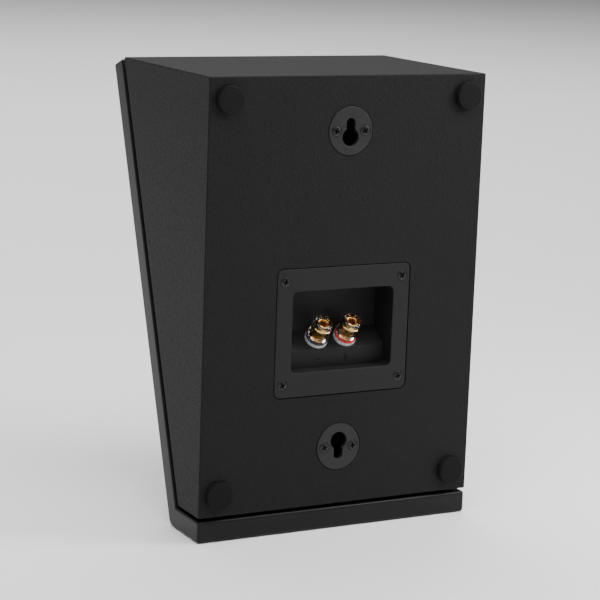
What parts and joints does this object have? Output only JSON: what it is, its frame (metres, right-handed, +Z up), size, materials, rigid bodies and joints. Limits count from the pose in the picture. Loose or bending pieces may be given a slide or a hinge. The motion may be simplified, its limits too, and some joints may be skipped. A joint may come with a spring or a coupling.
{
  "type": "bookshelf speaker",
  "caption": "Wedge-shaped bookshelf and wall loudspeaker with a tilted two-way front, a recessed terminal cup, keyhole hangers and rubber rear pads.",
  "frame": {"origin": "centre of the upper keyhole's round entry, in the plane of the rear face", "axes": "+Z up, +Y out of the rear face towards the wall, front towards -Y, +X to the right seen from the front"},
  "size_m": [0.18, 0.1413, 0.2695],
  "materials": {
    "board_resin": "phenolic board",
    "cabinet_wrap": "fibreboard wrapped in fine-grained matte black vinyl",
    "capacitor_sleeve": "shrink sleeve",
    "chamber_plastic": "moulded plastic",
    "clear_knob": "clear polycarbonate",
    "clear_ring": "frosted clear polycarbonate",
    "cone": "mineral-filled polypropylene",
    "copper": "enamelled copper wire",
    "cup_plastic": "finely textured moulded plastic",
    "dome_fabric": "coated silk",
    "driver_metal": "cast alloy, satin black",
    "dust_cap": "satin polypropylene",
    "fascia_lacquer": "fibreboard in satin black lacquer",
    "ferrite": "sintered ferrite",
    "fibreboard": "raw fibreboard",
    "foam": "closed-cell foam",
    "former": "thin foil",
    "gold_brass": "gold-plated brass",
    "keyhole_metal": "satin black powder coat",
    "nylon": "natural nylon",
    "pad_rubber": "soft matte rubber",
    "resistor_ceramic": "cement body",
    "ring_black": "black moulded plastic",
    "ring_red": "red moulded plastic",
    "screw_black": "black oxide steel",
    "spacer_black": "black hardboard",
    "spider_cloth": "resin-dipped cloth",
    "surround_rubber": "satin butyl rubber",
    "tag_metal": "tinned brass",
    "trim_rubber": "matte rubber",
    "tweeter_plate": "satin moulded plastic",
    "wadding": "loose polyester fibre",
    "wire_sleeve": "flexible insulation",
    "zinc_steel": "zinc-plated steel"
  },
  "bodies": {
    "cabinet": {"cabinet_sides": "cabinet_wrap", "cabinet_top": "cabinet_wrap", "cabinet_bottom": "cabinet_wrap", "cabinet_rear": "cabinet_wrap", "keyhole_covers": "spacer_black", "post_studs": "gold_brass", "post_base_rings": "clear_ring", "post_nuts": "zinc_steel", "post_solder_tags": "tag_metal", "cabinet_baffle": "fibreboard", "fascia_spacer": "spacer_black", "base_spacer": "spacer_black", "front_fascia": "fascia_lacquer", "woofer_frame": "driver_metal", "woofer_gasket": "foam", "woofer_trim_ring": "trim_rubber", "woofer_surround": "surround_rubber", "woofer_spider": "spider_cloth", "woofer_top_plate": "zinc_steel", "woofer_magnet": "ferrite", "woofer_back_plate": "zinc_steel", "woofer_terminals": "tag_metal", "woofer_screws": "screw_black", "tweeter_faceplate": "tweeter_plate", "tweeter_gasket": "foam", "tweeter_surround": "dome_fabric", "tweeter_top_plate": "zinc_steel", "tweeter_magnet": "ferrite", "tweeter_back_plate": "zinc_steel", "tweeter_rear_chamber": "chamber_plastic", "tweeter_screws": "screw_black", "terminal_cup": "cup_plastic", "terminal_gasket": "foam", "terminal_screws": "screw_black", "keyhole_plate_upper": "keyhole_metal", "keyhole_plate_lower": "keyhole_metal", "keyhole_screws": "screw_black", "rubber_pads": "pad_rubber", "crossover_board": "board_resin", "crossover_standoffs": "nylon", "crossover_screws": "zinc_steel", "crossover_inductors": "copper", "crossover_capacitor": "capacitor_sleeve", "crossover_resistor": "resistor_ceramic", "damping_wadding": "wadding", "internal_wires": "wire_sleeve", "post_negative_colour_ring": "ring_black", "post_positive_colour_ring": "ring_red"},
    "woofer_moving": {"woofer_cone": "cone", "woofer_dust_cap": "dust_cap", "woofer_former": "former", "woofer_voice_coil": "copper"},
    "tweeter_moving": {"tweeter_dome": "dome_fabric", "tweeter_coil": "copper"},
    "negative_washer": {"post_negative_washer": "gold_brass"},
    "negative_knob": {"post_negative_knob": "clear_knob", "post_negative_knob_insert": "gold_brass"},
    "positive_washer": {"post_positive_washer": "gold_brass"},
    "positive_knob": {"post_positive_knob": "clear_knob", "post_positive_knob_insert": "gold_brass"}
  },
  "joints": [
    {"name": "woofer_cone_travel", "type": "slide", "parent": "cabinet", "child": "woofer_moving", "axis": [0, -0.9381, -0.3465], "range_m": [-0.004, 0.004], "stiffness_N_per_m": 1100, "deforming": ["woofer_surround", "woofer_spider"]},
    {"name": "tweeter_dome_travel", "type": "slide", "parent": "cabinet", "child": "tweeter_moving", "axis": [0, -0.9381, -0.3465], "range_m": [-0.0003, 0.0003], "stiffness_N_per_m": 300, "deforming": ["tweeter_surround"]},
    {"name": "negative_knob_travel", "type": "slide", "parent": "cabinet", "child": "negative_washer", "axis": [0, 0.6364, 0.7714], "range_m": [0, 0.004]},
    {"name": "negative_knob_turn", "type": "hinge", "parent": "negative_washer", "child": "negative_knob", "pos_m": [0.0095, -0.01041, -0.11538], "axis": [0, 0.6364, 0.7714], "range_deg": [0, 1441]},
    {"name": "positive_knob_travel", "type": "slide", "parent": "cabinet", "child": "positive_washer", "axis": [0, 0.6364, 0.7714], "range_m": [0, 0.004]},
    {"name": "positive_knob_turn", "type": "hinge", "parent": "positive_washer", "child": "positive_knob", "pos_m": [-0.0095, -0.01041, -0.11538], "axis": [0, 0.6364, 0.7714], "range_deg": [0, 1441]}
  ],
  "couplings": [
    {"joint": "negative_knob_turn", "follows": "negative_knob_travel", "rad_per_m": 6283.2},
    {"joint": "positive_knob_turn", "follows": "positive_knob_travel", "rad_per_m": 6283.2}
  ]
}
